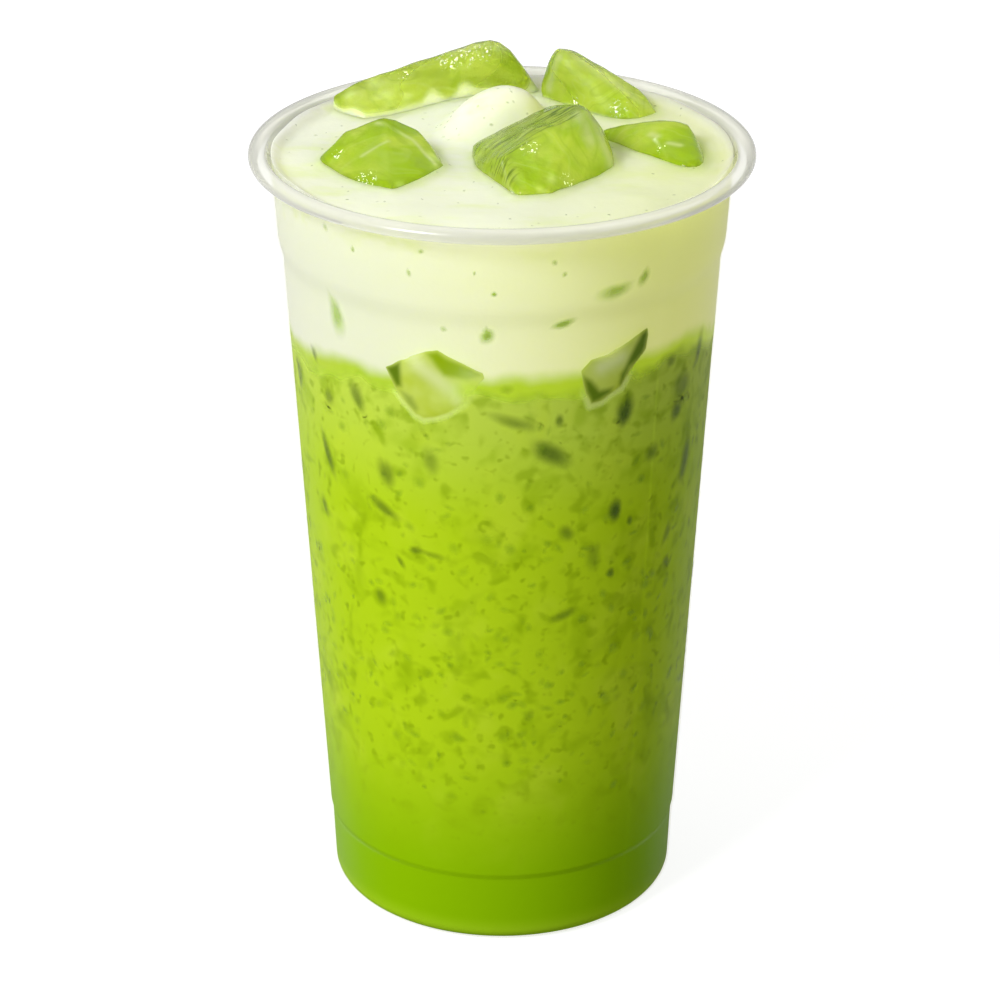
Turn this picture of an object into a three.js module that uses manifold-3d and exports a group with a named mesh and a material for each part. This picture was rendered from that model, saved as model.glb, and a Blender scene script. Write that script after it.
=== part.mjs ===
// Iced matcha latte in a clear takeaway cup with a rolled rim.
// A layer of milk foam lies on the green drink, and ice stands out of the foam.
// Millimetres, +Z up, origin at the centre of the cup's foot, front towards -Y.
import * as THREE from 'three';
import { ConvexGeometry } from 'three/addons/geometries/ConvexGeometry.js';
import { mergeVertices } from 'three/addons/utils/BufferGeometryUtils.js';
import Module from 'manifold-3d';

// Cup: a thin-walled taper with a foot step and a stacking shoulder
const RIM_DIAMETER = 95;
const CUP_HEIGHT = 153.8;
const BASE_DIAMETER = 68.2;
const BASE_FILLET = 3;
const WALL = 0.5;
const FOOT_STEP = { low: 14.6, high: 15.8, radiusBelow: 34.6, radiusAbove: 34.95 };
const SHOULDER = { low: 133.4, high: 136.6, radiusBelow: 41.7, radiusAbove: 42.55 };
const NECK = { height: 150.8, radius: 43.5 };

// Standing ring round a shallow recess under the base
const RECESS_DEPTH = 2;
const RECESS_RADIUS = 26;
const RECESS_DRAFT = 1.5;

// Rolled rim: an open curl of sheet, round in section
const CURL_WIDTH = 3.6;
const CURL_HEIGHT = 2.8;
const CURL_SHEET = 0.6;
const CURL_END_ANGLE = -90;
const CURL_STEPS = 9;

// Contents
const DRINK_LEVEL = 123.5;
const FOAM_LEVEL = 151.4;
const BOUNDARY_WAVE = 0.7;
const FOAM_RIPPLE = 0.25;
const FOAM_HEAP = { x: -3, y: 25, width: 15, depth: 9, height: 1.8 };
const SURFACE_RINGS = 9;

// Clearance between neighbours, and the fineness of round forms
const GAP = 0.3;
const SEGMENTS = 48;
const FILLET_STEPS = 4;

// Ice: corners above the foam as [x, y, up], the outline at the foam as [x, y], all from the
// piece's own place, and how far the narrowing keel reaches under the foam
const ICE_ROUNDING = 1.6;
const CORNER_INSET = 1.35;
const KEEL_NARROWING = 0.7;
const ICE = [
  {
    name: 'ice_back_bar',
    at: [-12, 31],
    crown: [
      [12, 2, 12.2], [15, 3, 9], [-7.5, 0, 7], [-17.5, -4, 4],
      [-21.5, -6.5, 2], [10, 7, 8], [-7, 5, 4.5],
    ],
    waterline: [[-16, -11.5], [-6, -5], [4, -0.5], [20, 5], [16, 9.5], [-2, 8], [-19, -4]],
    keel: 6,
  },
  {
    name: 'ice_back_wedge',
    at: [18, 28],
    crown: [
      [-8, 1.5, 12], [-5.5, 3, 10.8], [5.5, 1, 5.4], [9.5, -0.5, 3.3],
      [-11, 3.5, 3.5], [-7, 7, 9], [4, 6.5, 2.5],
    ],
    waterline: [
      [-10.5, 5.5], [-8, 1.5], [-2, -3], [5.5, -10], [9, -10],
      [12.5, -6], [11.5, 0.5], [2, 8.5], [-7, 11],
    ],
    keel: 7,
  },
  {
    name: 'ice_front_left',
    at: [-22, -6],
    crown: [
      [-8, 6, 4.8], [0.5, 8.5, 7.2], [6.5, 8.5, 4.3],
      [0, -1, 4.5], [-6, 0, 3.6], [7, 1, 3],
    ],
    waterline: [
      [-13, 2], [-8.5, -5.5], [-2, -12.5], [2, -15], [8, -8.5],
      [12.2, -1], [10, 7], [6, 11.5], [-4, 12.5], [-11, 8],
    ],
    keel: 8,
  },
  {
    name: 'ice_front_block',
    at: [8, -8],
    crown: [
      [-14, 9.5, 1], [-8, -7, 4.5], [1.5, 12.5, 8.4],
      [7, 9, 9.9], [8.5, 5, 9.9], [11.5, 9, 4.5],
    ],
    waterline: [[-13.5, 0.5], [-5.5, -16], [0, -15.5], [13.5, 0.5], [11.5, 12], [-6, 15]],
    keel: 9,
  },
  {
    name: 'ice_right',
    at: [30, 4],
    crown: [
      [5.5, 3, 4], [-1, 4, 4.4], [2, 3.5, 4.4],
      [-8, 6, 2], [-1, -3.5, 3.4], [7, 0, 2],
    ],
    waterline: [
      [-12, 7.5], [-8, 0.5], [-3, -3.5], [1.5, -9], [3.5, -12], [6, -12.5],
      [7.2, -11], [8.2, -3], [7, 4], [0, 9.5], [-10.5, 9],
    ],
    keel: 7,
  },
  {
    name: 'foam_capped_ice',
    at: [-1, 15],
    crown: [[1.5, 2, 9], [-6.5, -1, 6.5], [8, 0, 7.4], [-8, -5, 3.5], [1, -6, 5.5]],
    waterline: [
      [-11, -0.5], [-10.5, -7], [-6.5, -10], [3, -6],
      [10, -3], [10, 9], [1, 12], [-8, 8],
    ],
    keel: 5,
  },
];

// Finishes
const finish = (color, roughness, extra = {}) =>
  new THREE.MeshStandardMaterial({ color, roughness, metalness: 0, ...extra });
const CLEAR_PLASTIC = finish('#e8eae4', 0.15, { transparent: true, opacity: 0.3 });
const MATCHA = finish('#9cc41e', 0.35);
const MILK_FOAM = finish('#eef4d2', 0.6);
const GREEN_ICE = finish('#a5c93a', 0.1);
const FOAMED_ICE = finish('#f2f6e2', 0.5);

const wasm = await Module();
wasm.setup();

// Closed three.js geometry to a solid that can be cut, and back
function toSolid(geometry) {
  const bare = geometry.clone();
  bare.deleteAttribute('normal');
  bare.deleteAttribute('uv');
  const merged = mergeVertices(bare);
  const corners = merged.index.array;
  const triangles = [];
  for (let i = 0; i < corners.length; i += 3) {
    const [a, b, c] = corners.slice(i, i + 3);
    const isFlat = a === b || b === c || c === a;
    if (!isFlat) triangles.push(a, b, c);
  }
  const mesh = new wasm.Mesh({
    numProp: 3,
    vertProperties: new Float32Array(merged.attributes.position.array),
    triVerts: new Uint32Array(triangles),
  });
  return new wasm.Manifold(mesh);
}

function fromSolid(solid) {
  const mesh = solid.getMesh();
  const geometry = new THREE.BufferGeometry();
  geometry.setAttribute('position', new THREE.BufferAttribute(mesh.vertProperties, 3));
  geometry.setIndex(new THREE.BufferAttribute(mesh.triVerts, 1));
  geometry.computeVertexNormals();
  return geometry;
}

// A profile of [radius, height] points turned about the upright axis
function turn(profile) {
  const points = profile.map(([radius, height]) => new THREE.Vector2(radius, height));
  return new THREE.LatheGeometry(points, SEGMENTS).rotateX(Math.PI / 2);
}

// Points of an elliptic arc, angles in degrees
function arc([x, z], [halfWidth, halfHeight], from, to, steps) {
  const points = [];
  for (let i = 0; i <= steps; i += 1) {
    const angle = THREE.MathUtils.degToRad(from + ((to - from) * i) / steps);
    points.push([x + halfWidth * Math.cos(angle), z + halfHeight * Math.sin(angle)]);
  }
  return points;
}

// The cup's wall above the base fillet: outer radius against height
const WALL_STATIONS = [
  [BASE_DIAMETER / 2, BASE_FILLET],
  [FOOT_STEP.radiusBelow, FOOT_STEP.low],
  [FOOT_STEP.radiusAbove, FOOT_STEP.high],
  [SHOULDER.radiusBelow, SHOULDER.low],
  [SHOULDER.radiusAbove, SHOULDER.high],
  [NECK.radius, NECK.height],
];

function outerRadius(height) {
  for (let i = 1; i < WALL_STATIONS.length; i += 1) {
    const [r0, z0] = WALL_STATIONS[i - 1];
    const [r1, z1] = WALL_STATIONS[i];
    if (height <= z1) return r0 + ((r1 - r0) * (height - z0)) / (z1 - z0);
  }
  return NECK.radius;
}

// The base from the axis to the top of its fillet, moved into the cup by inset
function baseLine(inset) {
  const ringOuter = BASE_DIAMETER / 2 - BASE_FILLET;
  const fillet = BASE_FILLET - inset;
  return [
    [0, RECESS_DEPTH + inset],
    [RECESS_RADIUS + inset, RECESS_DEPTH + inset],
    [RECESS_RADIUS + RECESS_DRAFT + inset, inset],
    ...arc([ringOuter, BASE_FILLET], [fillet, fillet], -90, 0, FILLET_STEPS),
  ];
}

// The wall between two heights, moved into the cup by inset
function wallLine(inset, low, high) {
  const between = WALL_STATIONS.filter(([, z]) => z > low && z < high);
  const ends = [[outerRadius(low), low], ...between, [outerRadius(high), high]];
  return ends.map(([radius, height]) => [radius - inset, height]);
}

function cupGeometry() {
  const centre = [(RIM_DIAMETER - CURL_WIDTH) / 2, CUP_HEIGHT - CURL_HEIGHT / 2];
  const outer = [CURL_WIDTH / 2, CURL_HEIGHT / 2];
  const inner = outer.map((half) => half - CURL_SHEET);
  const outside = [...baseLine(0), ...wallLine(0, BASE_FILLET, NECK.height).slice(1)];
  const inside = [...baseLine(WALL), ...wallLine(WALL, BASE_FILLET, NECK.height).slice(1)];
  return turn([
    ...outside,
    ...arc(centre, inner, 180, CURL_END_ANGLE, CURL_STEPS),
    ...arc(centre, outer, CURL_END_ANGLE, 180, CURL_STEPS),
    ...inside.reverse(),
  ]);
}

// Height of the contents' surfaces above their levels
const boundaryWave = (x, y) =>
  BOUNDARY_WAVE * (Math.sin(0.085 * x + 0.6) * Math.cos(0.07 * y - 0.4));

function foamRelief(x, y) {
  const { x: heapX, y: heapY, width, depth, height } = FOAM_HEAP;
  const heap = height * Math.exp(-(((x - heapX) / width) ** 2) - ((y - heapY) / depth) ** 2);
  const ripple = FOAM_RIPPLE * Math.sin(0.21 * x + 0.13 * y) * Math.cos(0.17 * y - 0.09 * x);
  return heap + ripple;
}

// Lifts the points that lie on a level by a relief of their place
function shapeSurface(geometry, level, relief) {
  const points = geometry.attributes.position;
  const tolerance = 1e-3;
  for (let i = 0; i < points.count; i += 1) {
    const onLevel = Math.abs(points.getZ(i) - level) < tolerance;
    if (onLevel) points.setZ(i, level + relief(points.getX(i), points.getY(i)));
  }
  return geometry;
}

// Rings of a flat surface from the axis out to just inside the edge
function surfaceRings(edge, height) {
  return Array.from({ length: SURFACE_RINGS }, (_, i) => [(edge * i) / SURFACE_RINGS, height]);
}

const CONTENTS_INSET = WALL + GAP;

function drinkGeometry() {
  const edge = outerRadius(DRINK_LEVEL) - CONTENTS_INSET;
  const profile = [
    ...baseLine(CONTENTS_INSET),
    ...wallLine(CONTENTS_INSET, BASE_FILLET, DRINK_LEVEL).slice(1),
    ...surfaceRings(edge, DRINK_LEVEL).reverse(),
  ];
  return shapeSurface(turn(profile), DRINK_LEVEL, boundaryWave);
}

function foamGeometry(icePieces) {
  const bottom = DRINK_LEVEL + GAP;
  const edgeLow = outerRadius(bottom) - CONTENTS_INSET;
  const edgeHigh = outerRadius(FOAM_LEVEL) - CONTENTS_INSET;
  const body = turn([
    ...surfaceRings(edgeLow, bottom),
    ...wallLine(CONTENTS_INSET, bottom, FOAM_LEVEL),
    ...surfaceRings(edgeHigh, FOAM_LEVEL).reverse(),
  ]);
  shapeSurface(body, bottom, boundaryWave);
  shapeSurface(body, FOAM_LEVEL, foamRelief);
  let foam = toSolid(body);
  for (const piece of icePieces) {
    const hollow = iceGeometry(piece, GAP).translate(...placeOf(piece));
    foam = foam.subtract(toSolid(hollow));
  }
  return fromSolid(foam);
}

const placeOf = ({ at }) => [...at, FOAM_LEVEL];

// The separate points of a small ball
function roundBall(radius) {
  const geometry = new THREE.IcosahedronGeometry(radius, 1);
  geometry.deleteAttribute('normal');
  geometry.deleteAttribute('uv');
  return mergeVertices(geometry).attributes.position;
}

// One ice piece about its own place: the hull of small balls set inside its corners
function iceGeometry({ crown, waterline, keel }, growth = 0) {
  const middleX = waterline.reduce((sum, [x]) => sum + x, 0) / waterline.length;
  const middleY = waterline.reduce((sum, [, y]) => sum + y, 0) / waterline.length;
  const keelCorners = waterline.map(([x, y]) => [
    middleX + (x - middleX) * KEEL_NARROWING,
    middleY + (y - middleY) * KEEL_NARROWING,
    -keel,
  ]);
  const floating = waterline.map(([x, y]) => [x, y, 0]);
  const corners = [...crown, ...floating, ...keelCorners].map((c) => new THREE.Vector3(...c));
  const middle = corners
    .reduce((sum, c) => sum.add(c), new THREE.Vector3())
    .divideScalar(corners.length);
  const ball = roundBall(ICE_ROUNDING + growth);
  const skin = [];
  for (const corner of corners) {
    const inward = middle.clone().sub(corner).setLength(ICE_ROUNDING * CORNER_INSET);
    const centre = corner.clone().add(inward);
    for (let i = 0; i < ball.count; i += 1) {
      skin.push(new THREE.Vector3().fromBufferAttribute(ball, i).add(centre));
    }
  }
  return new ConvexGeometry(skin);
}

function addPiece(group, name, geometry, material, place = [0, 0, 0]) {
  const mesh = new THREE.Mesh(geometry, material);
  mesh.name = name;
  mesh.position.set(...place);
  group.add(mesh);
}

const latte = new THREE.Group();
addPiece(latte, 'cup', cupGeometry(), CLEAR_PLASTIC);
addPiece(latte, 'matcha_latte', drinkGeometry(), MATCHA);
addPiece(latte, 'milk_foam', foamGeometry(ICE), MILK_FOAM);
for (const piece of ICE) {
  const material = piece.name === 'foam_capped_ice' ? FOAMED_ICE : GREEN_ICE;
  addPiece(latte, piece.name, iceGeometry(piece), material, placeOf(piece));
}

export default latte;
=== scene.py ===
"""Iced matcha latte in a clear takeaway cup: the looks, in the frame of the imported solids.

Sizes are in millimetres and become metres where a mesh is made. Angles round the cup are in degrees from
the front (-Y) towards +X. +Z is up, and the origin is the centre of the cup's foot.
"""
import math

import bmesh
import bpy
import numpy as np
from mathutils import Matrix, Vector, noise
from mathutils.bvhtree import BVHTree


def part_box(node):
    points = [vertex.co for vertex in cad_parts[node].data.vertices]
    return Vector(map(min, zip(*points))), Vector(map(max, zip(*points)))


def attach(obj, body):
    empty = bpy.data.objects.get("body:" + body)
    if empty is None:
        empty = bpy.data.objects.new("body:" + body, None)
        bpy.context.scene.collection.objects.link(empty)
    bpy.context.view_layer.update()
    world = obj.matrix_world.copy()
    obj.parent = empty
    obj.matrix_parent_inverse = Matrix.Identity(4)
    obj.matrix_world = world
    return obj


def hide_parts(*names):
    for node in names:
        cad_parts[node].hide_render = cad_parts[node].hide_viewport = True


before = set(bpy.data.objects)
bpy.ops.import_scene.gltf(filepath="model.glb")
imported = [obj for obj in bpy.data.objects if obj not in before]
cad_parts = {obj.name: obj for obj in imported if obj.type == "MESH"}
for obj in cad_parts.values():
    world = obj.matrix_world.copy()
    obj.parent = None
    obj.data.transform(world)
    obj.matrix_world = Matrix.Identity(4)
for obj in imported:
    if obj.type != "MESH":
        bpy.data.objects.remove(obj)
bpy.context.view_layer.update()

MM = 0.001
SEED = 7

# Cup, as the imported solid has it
RIM_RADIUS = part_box("cup")[1].x / MM
CUP_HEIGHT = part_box("cup")[1].z / MM
WALL = 0.5
BASE_RADIUS = 34.1
BASE_FILLET = 3.0
RECESS_DEPTH = 2.0
RECESS_RADIUS = 26.0
RECESS_DRAFT = 1.5
CURL_WIDTH = 3.6
CURL_HEIGHT = 2.8
CURL_SHEET = 0.6
NECK_HEIGHT = 150.8
WALL_STATIONS = [
    (BASE_FILLET, BASE_RADIUS),
    (14.6, 34.6),
    (15.8, 34.95),
    (133.4, 41.7),
    (136.6, 42.55),
    (NECK_HEIGHT, 43.5),
]
CORNER_ROUNDING = 0.18
STEP_ZONES = [(13.6, 16.8), (132.2, 137.8)]
STEP_SPACING = 0.15
# Turned pieces sweep their profile round a guide circle of this radius
GUIDE_RADIUS = 20.0

# Contents: levels, and how far they reach into the wall so that no air gap shows
DRINK_LEVEL = 123.5
FOAM_LEVEL = 151.4
WALL_REACH = 0.15
CONTENTS_INSET = WALL - WALL_REACH
# Flecks: strength of the faintest, and the heights where those in the drink's side start, end and thin out
FAINTEST_FLECK = 0.15
FLECKS_FROM = (30, 46)
FLECKS_TO = (118, 122)
FLECKS_THIN = (60, 95)
# Where green turns to foam at the wall: angle, height
BOUNDARY = [
    (-180, 122.5), (-76, 119.5), (-64, 119.9), (-50, 121.6), (-38, 122.0), (-10, 122.9), (0, 123.3),
    (20, 123.2), (42, 124.4), (57, 124.2), (66, 123.6), (76, 120.5), (180, 122.5),
]
# Its unevenness: size of the waves, their height, random series
BOUNDARY_WAVES = [(7, 0.8, SEED), (2.5, 0.5, SEED + 1)]
BOUNDARY_SOFTNESS = 1.8
# The foam's foot: how far it reaches down the drink's side, how proud of it, where it fades and how patchily
FOAM_SKIRT = 14.0
SKIRT_PROUD = 0.05
SKIRT_FADE = (-5.2, -1.6)
SKIRT_PATCHES = 6.0
# The foam's top: a heap, a slow ripple, and where it is drawn up at the wall and round the ice
FOAM_HEAP = dict(x=-3.0, y=25.0, width=15.0, depth=9.0, height=1.8)
FOAM_RIPPLE = 0.25
FOAM_LUMPS = [(6, 0.16, SEED + 2), (2.2, 0.06, SEED + 3)]
FOAM_AT_WALL = dict(height=1.4, width=1.3)
FOAM_AT_ICE = dict(height=0.5, width=1.0)
FOAM_EASING = 0.9

# Ice that stands out of the foam. Each piece has the depth of its chipped facets, rounds of melting, bulge of
# its faces, depth of its stain, how far foam climbs it and how unevenly, and how much painted shade darkens
# its edges. It may have dulled ridges and pale strips of painted light (from, to, reach), milky patches and
# frost spots with painted white glints (x, y, z, reach), and bright lines of painted glint (from, to)
ICE_LOOKS = {
    "ice_back_bar": dict(
        # Its stain is lighter partly as painted light: the light that shines through this bar from behind.
        chips=0.5, melt=6, bulge=0.4, stain=-0.16, climb=1.3, uneven=2.4, dark=0.0,
        ridges=[((-20.0, 26.0, 152.0), (-4.0, 30.0, 161.0), 5.0)],
        strips=[((-10.0, 32.0, 161.5), (2.0, 33.0, 162.5), 1.4)],
        patches=[(-24.0, 26.8, 157.2, 3.0), (-28.9, 24.3, 155.4, 2.6), (-22.5, 22.8, 155.1, 2.6),
                 (-18.7, 23.0, 155.0, 1.6), (-4.3, 28.8, 154.1, 2.5)],
        frost=[(-18.9, 27.1, 157.7, 1.3), (-10.5, 29.3, 160.2, 2.4), (-7.0, 29.9, 161.2, 2.4),
               (-3.6, 30.5, 161.8, 2.0)],
    ),
    "ice_back_wedge": dict(
        chips=0.5, melt=6, bulge=0.3, stain=-0.02, climb=-0.4, uneven=1.0, dark=0.0,
        ridges=[((12.0, 25.5, 161.0), (22.5, 19.5, 151.5), 5.0)],
        strips=[((11.4, 30.4, 162.3), (18.9, 25.8, 158.9), 1.3),
                ((18.9, 25.8, 158.9), (29.5, 22.0, 154.0), 1.3),
                ((11.0, 28.4, 161.3), (9.1, 28.7, 154.9), 0.8)],
        frost=[(22.6, 20.3, 153.7, 2.0), (14.5, 25.0, 153.5, 1.2)],
    ),
    "ice_front_left": dict(
        chips=0.6, melt=5, bulge=0.0, stain=0.03, climb=-0.8, uneven=0.4, dark=0.5,
        strips=[((-23.3, -0.3, 157.8), (-16.6, -3.2, 155.5), 0.5),
                ((-16.6, -3.2, 155.5), (-12.4, -8.5, 152.7), 0.5),
                ((-25.9, -9.1, 154.4), (-21.1, -6.2, 156.3), 0.4)],
        patches=[(-12.4, -6.3, 153.1, 2.0), (-11.5, -9.1, 151.3, 2.4), (-18.6, -19.0, 151.8, 1.6)],
        frost=[(-30.4, -5.8, 153.4, 1.3), (-25.1, -15.8, 152.2, 2.3)],
    ),
    "ice_front_block": dict(
        chips=0.4, melt=5, bulge=0.3, stain=0.0, climb=-0.8, uneven=0.5, dark=0.25,
        strips=[((14.0, -4.5, 161.0), (16.2, -8.2, 157.2), 1.4),
                ((16.3, -4.1, 160.7), (20.5, -7.7, 152.2), 1.6)],
        patches=[(9.1, -20.0, 153.7, 1.4), (6.9, -22.5, 152.7, 1.0)],
        frost=[(5.1, -12.7, 156.9, 2.0), (12.0, -18.0, 153.0, 1.6)],
        lines=[((0.2, -14.5, 155.0), (2.0, -22.5, 151.7))],
    ),
    "ice_right": dict(
        chips=0.5, melt=6, bulge=0.3, stain=0.05, climb=-0.8, uneven=0.4, dark=0.5,
        strips=[((27.9, 2.9, 154.5), (29.0, 1.6, 154.5), 0.7),
                ((31.0, -1.0, 154.2), (33.2, -2.0, 154.0), 0.6)],
        frost=[(30.0, -2.0, 153.0, 1.2)],
        lines=[((28.6, 1.1, 154.0), (30.9, -4.3, 152.3))],
    ),
}
# Dents in every ice piece: size, depth, random series
ICE_DENTS = [(7, 0.35, SEED + 4), (3, 0.2, SEED + 5)]
# The block's broken face: where it looks, and which way its fibres run
BROKEN_NODE = "ice_front_block"
BROKEN_FACE = {"out": np.array([-0.62, 0.1, 0.78]), "along": np.array([0.74, 0.5, 0.42])}
BROKEN_FACE["across"] = np.cross(BROKEN_FACE["along"], BROKEN_FACE["out"])
# The ice under foam, and how thick the coat on it is
CAPPED_NODE = "foam_capped_ice"
COAT = 1.4

# Ice pressed against the wall at the foam's lower edge: its corners (angle, height), dark facets of painted
# shade and green facets (corners, strength), milky strips (from, to, reach) and spots that the drink hides
# (spot, reach, share)
WALL_ICE = {
    "wall_ice_left": dict(
        outline=[(-31.6, 123.2), (-26.7, 125.2), (-19.8, 127.7), (-16.5, 128.3), (-14.2, 127.3),
                 (-4.8, 124.4), (-4.3, 123.2), (-9.6, 118.3), (-13.7, 115.9), (-20.8, 114.0),
                 (-23.0, 114.7), (-28.5, 118.9)],
        dark=[([(-31.6, 123.2), (-26.7, 125.0), (-26.6, 122.3), (-26.6, 119.8), (-28.4, 119.5),
                (-30.1, 121.5)], 1.0),
              ([(-27.5, 119.3), (-23.6, 118.3), (-22.0, 116.0), (-22.9, 115.0), (-25.5, 116.5)], 0.55)],
        green=[([(-19.8, 127.5), (-16.5, 128.2), (-14.2, 127.0), (-9.5, 125.8), (-5.6, 124.5),
                 (-5.0, 123.6), (-8.7, 122.5), (-11.9, 122.9), (-15.1, 123.2), (-16.8, 124.8),
                 (-18.4, 126.3)], 1.0)],
        milky=[((-21.6, 124.7), (-13.1, 120.6), 1.8), ((-13.1, 120.6), (-11.5, 118.8), 1.4)],
        faded=[((-7.0, 119.5), 4.0, 0.75), ((-23.5, 127.0), 2.0, 0.5)],
    ),
    "wall_ice_right": dict(
        outline=[(20.4, 123.7), (23.1, 125.7), (27.8, 126.1), (33.7, 127.7), (37.9, 129.1), (40.0, 129.5),
                 (40.6, 127.9), (39.8, 125.3), (37.5, 123.3), (34.6, 121.6), (32.5, 118.9), (30.2, 118.3),
                 (26.6, 116.8), (23.4, 116.5), (21.7, 119.2)],
        dark=[([(39.7, 129.3), (40.3, 128.3), (39.8, 125.9), (38.9, 124.6), (37.0, 123.4), (34.8, 122.5),
                (32.4, 119.2), (31.5, 119.7), (31.8, 121.5), (33.3, 123.1), (34.4, 124.8), (36.2, 126.9),
                (38.0, 128.8)], 1.0),
              ([(20.7, 123.0), (23.7, 121.4), (26.0, 119.3), (29.8, 119.3), (29.2, 118.2), (26.2, 117.1),
                (23.6, 116.6), (21.9, 119.2)], 1.0)],
        milky=[((26.2, 123.9), (31.5, 124.9), 1.6)],
        faded=[((28.5, 128.0), 2.5, 0.6)],
    ),
}

# Dark chips against the wall: angle, height, length, width, lean of the long way, strength
ICE_CHIPS = [
    (-55.6, 100.2, 9.9, 2.4, -23, 0.7),
    (-41.3, 115.1, 6.5, 2.8, -25, 0.65),
    (-52.9, 112.6, 3.4, 3.4, -10, 0.55),
    (-58.9, 120.0, 4.1, 2.2, -28, 0.55),
    (-70.9, 112.1, 7.1, 3.4, -8, 0.6),
    (-32.5, 101.1, 6.9, 3.7, -12, 0.65),
    (-19.2, 105.3, 5.8, 3.1, -15, 0.45),
    (-34.4, 93.7, 7.3, 2.4, -58, 0.65),
    (-59.7, 88.1, 4.5, 1.8, -18, 0.5),
    (13.0, 107.6, 8.4, 3.6, -58, 0.8),
    (3.0, 114.3, 9.6, 2.8, -70, 0.5),
    (33.8, 113.2, 6.5, 3.4, 5, 1.0),
    (15.0, 114.3, 2.6, 1.6, 0, 0.6),
    (53.9, 109.5, 4.3, 3.2, 20, 0.65),
    (56.4, 114.6, 5.4, 5.6, -25, 0.45),
    (61.1, 97.6, 8.2, 3.0, 8, 0.6),
    (64.4, 119.5, 8.6, 2.6, 12, 0.6),
    (49.8, 120.6, 2.8, 2.4, 20, 0.4),
    (44.5, 103.3, 3.7, 3.7, 30, 0.45),
    (32.5, 93.4, 4.7, 3.0, 10, 1.0),
    (37.5, 90.3, 2.2, 1.7, 5, 0.55),
    (53.9, 84.1, 5.4, 2.2, 20, 0.4),
    (54.6, 77.8, 2.6, 2.4, 15, 0.5),
    (31.9, 80.4, 2.2, 1.8, 0, 0.65),
    (17.8, 90.8, 3.5, 2.9, -10, 0.55),
    (17.4, 73.2, 6.1, 2.3, 70, 0.5),
    (-24.8, 86.2, 2.8, 1.9, -80, 0.6),
    (-19.2, 85.8, 5.4, 1.7, -80, 0.4),
    (-29.4, 83.1, 3.0, 1.3, -35, 0.55),
    (26.1, 84.7, 5.6, 3.3, 5, 0.35),
    (-36.9, 74.5, 3.7, 2.6, -10, 0.45),
]

# Green specks in the foam against the wall, in the same order of values
FOAM_SPECKS = [
    (-3.7, 131.9, 3.8, 3.3, 10, 1.0),
    (-1.9, 140.3, 1.0, 0.9, 40, 1.0),
    (15.2, 133.6, 4.0, 1.5, 72, 1.0),
    (28.9, 138.9, 7.0, 3.0, 82, 0.8),
    (36.9, 140.3, 3.4, 2.3, 30, 0.8),
    (-46.8, 130.8, 7.0, 4.0, -12, 0.8),
    (-38.6, 145.3, 1.4, 1.0, -15, 0.7),
    (-22.9, 143.2, 1.5, 0.9, 0, 0.7),
    (-19.6, 147.7, 1.2, 1.0, 30, 0.7),
    (-14.7, 132.6, 1.0, 1.0, 80, 0.55),
    (-6.6, 144.3, 0.9, 0.5, 20, 0.7),
    (12.6, 146.1, 1.1, 0.9, 0, 0.65),
    (15.1, 143.6, 1.0, 0.7, 20, 0.65),
    (-47.8, 148.0, 1.3, 1.2, 0, 0.45),
]


# Small helpers

def linear(colour):
    """An sRGB hex value as the linear colour that shaders take."""
    channels = [int(colour[i:i + 2], 16) / 255 for i in (1, 3, 5)]
    return [c / 12.92 if c <= 0.04045 else ((c + 0.055) / 1.055) ** 2.4 for c in channels] + [1.0]


def per_mm(size):
    """A pattern's scale for features of this many millimetres."""
    return 1 / (size * MM)


def add(tree, kind, inputs=None, **settings):
    """Adds a node with its settings; an input is a value, or the socket that feeds it."""
    node = tree.nodes.new(kind)
    for name, value in settings.items():
        setattr(node, name, value)
    for name, value in (inputs or {}).items():
        if isinstance(value, bpy.types.NodeSocket):
            tree.links.new(value, node.inputs[name])
        else:
            node.inputs[name].default_value = value
    return node


def new_material(name):
    material = bpy.data.materials.new(name)
    material.use_nodes = True
    material.node_tree.nodes.clear()
    return material, material.node_tree


def smooth(low, high, value):
    """0 below low, 1 above high, eased between."""
    share = np.clip((np.asarray(value, float) - low) / (high - low), 0, 1)
    return share * share * (3 - 2 * share)


def link(name, mesh, material=None):
    piece = bpy.data.objects.new(name, mesh)
    bpy.context.scene.collection.objects.link(piece)
    if material:
        mesh.materials.clear()
        mesh.materials.append(material)
    mesh.shade_smooth()
    return piece


def places(mesh):
    """The mesh's points in millimetres."""
    flat = np.empty(len(mesh.vertices) * 3, np.float32)
    mesh.vertices.foreach_get("co", flat)
    return flat.reshape(-1, 3).astype(float) / MM


def move_to(mesh, points):
    mesh.vertices.foreach_set("co", (points * MM).astype(np.float32).ravel())
    mesh.update()


def mark(mesh, name, values):
    """A number for each point that a material or a scatter reads."""
    attribute = mesh.attributes.new(name, "FLOAT", "POINT")
    attribute.data.foreach_set("value", np.asarray(values, np.float32))


def plain_mesh(piece):
    """The evaluated piece as a plain mesh."""
    bpy.context.view_layer.update()
    evaluated = piece.evaluated_get(bpy.context.evaluated_depsgraph_get())
    return bpy.data.meshes.new_from_object(evaluated)


def rework(mesh, change):
    """Edits a mesh in place."""
    work = bmesh.new()
    work.from_mesh(mesh)
    change(work)
    work.to_mesh(mesh)
    work.free()


def through_nodes(name, mesh, tree, values):
    """A new piece: the mesh after a Geometry Nodes tree, with the tree's named inputs set."""
    source = link(name + "_source", mesh)
    modifier = source.modifiers.new(tree.name, "NODES")
    modifier.node_group = tree
    for socket in tree.interface.items_tree:
        if socket.name in values:
            modifier[socket.identifier] = values[socket.name]
    made = plain_mesh(source)
    source.modifiers.remove(modifier)
    bpy.data.objects.remove(source)
    made.name = name
    return link(name, made)


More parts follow.
